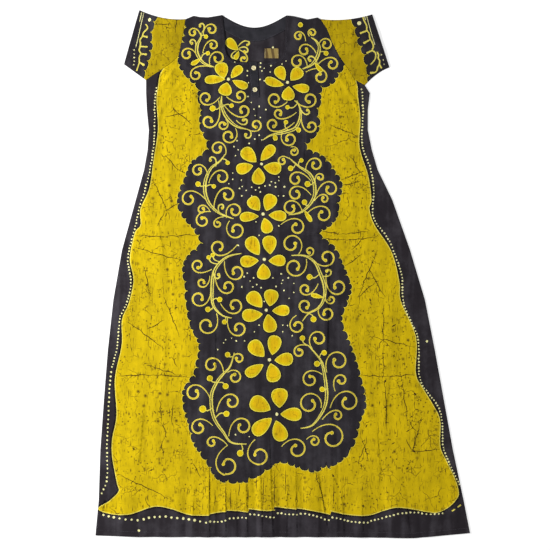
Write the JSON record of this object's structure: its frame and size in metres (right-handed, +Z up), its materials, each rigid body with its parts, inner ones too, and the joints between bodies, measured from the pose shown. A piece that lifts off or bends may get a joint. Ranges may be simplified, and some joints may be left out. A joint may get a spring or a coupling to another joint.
{
  "type": "batik house dress",
  "caption": "Long A-line cotton house dress laid flat, with short set-in sleeves, a round neck, a half placket and small buttons.",
  "frame": {"origin": "middle of the laid dress's outline box, on the surface it lies on", "axes": "+Z up off the surface, +Y from the hem to the neck, +X to the right as the front is seen"},
  "size_m": [0.951, 1.3418, 0.008],
  "materials": {
    "batik_cotton": "wax-resist printed cotton, mustard and navy, crackled",
    "plain_cotton": "plain navy woven cotton",
    "woven_label": "bare woven tape",
    "button_shell": "cream polyester button, glossy"
  },
  "bodies": {
    "root": {"back_panel": "batik_cotton", "front_panel": "batik_cotton", "sleeve_left": "batik_cotton", "sleeve_right": "batik_cotton", "back_neck_facing": "plain_cotton", "placket_band": "plain_cotton", "neck_label": "woven_label", "button_upper": "button_shell", "button_lower": "button_shell"}
  },
  "joints": []
}
